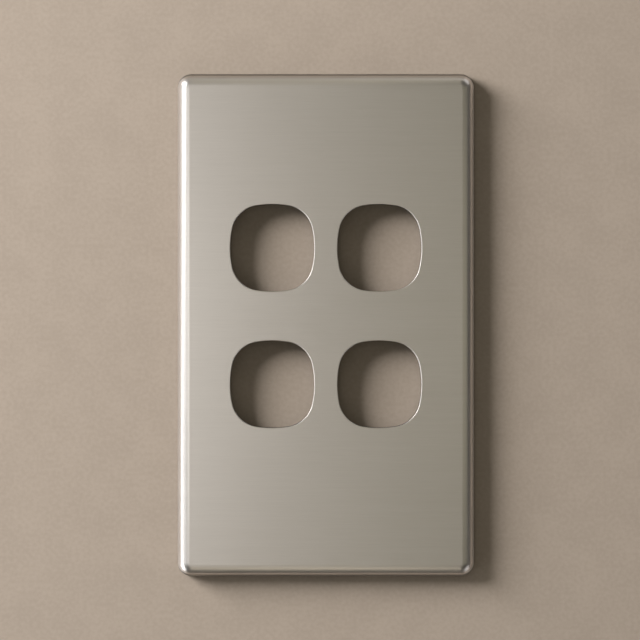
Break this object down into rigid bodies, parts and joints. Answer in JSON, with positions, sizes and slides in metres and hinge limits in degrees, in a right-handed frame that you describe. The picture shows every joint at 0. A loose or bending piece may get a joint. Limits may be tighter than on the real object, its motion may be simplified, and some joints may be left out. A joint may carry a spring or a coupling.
{
  "type": "switch plate",
  "caption": "Satin metal wall switch cover: a shallow tray with rolled edges and bowed square rocker openings, snapped over a grid plate.",
  "frame": {"origin": "centre of the rim, in the plane where the skirt meets the wall", "axes": "+X to the right seen from the front, +Y up the plate, +Z out of the wall through the face"},
  "size_m": [0.069, 0.117, 0.0045],
  "materials": {
    "satin_steel": "satin, fine horizontal grain; dull and dark inside"
  },
  "bodies": {
    "root": {"switch_plate": "satin_steel"}
  },
  "joints": []
}
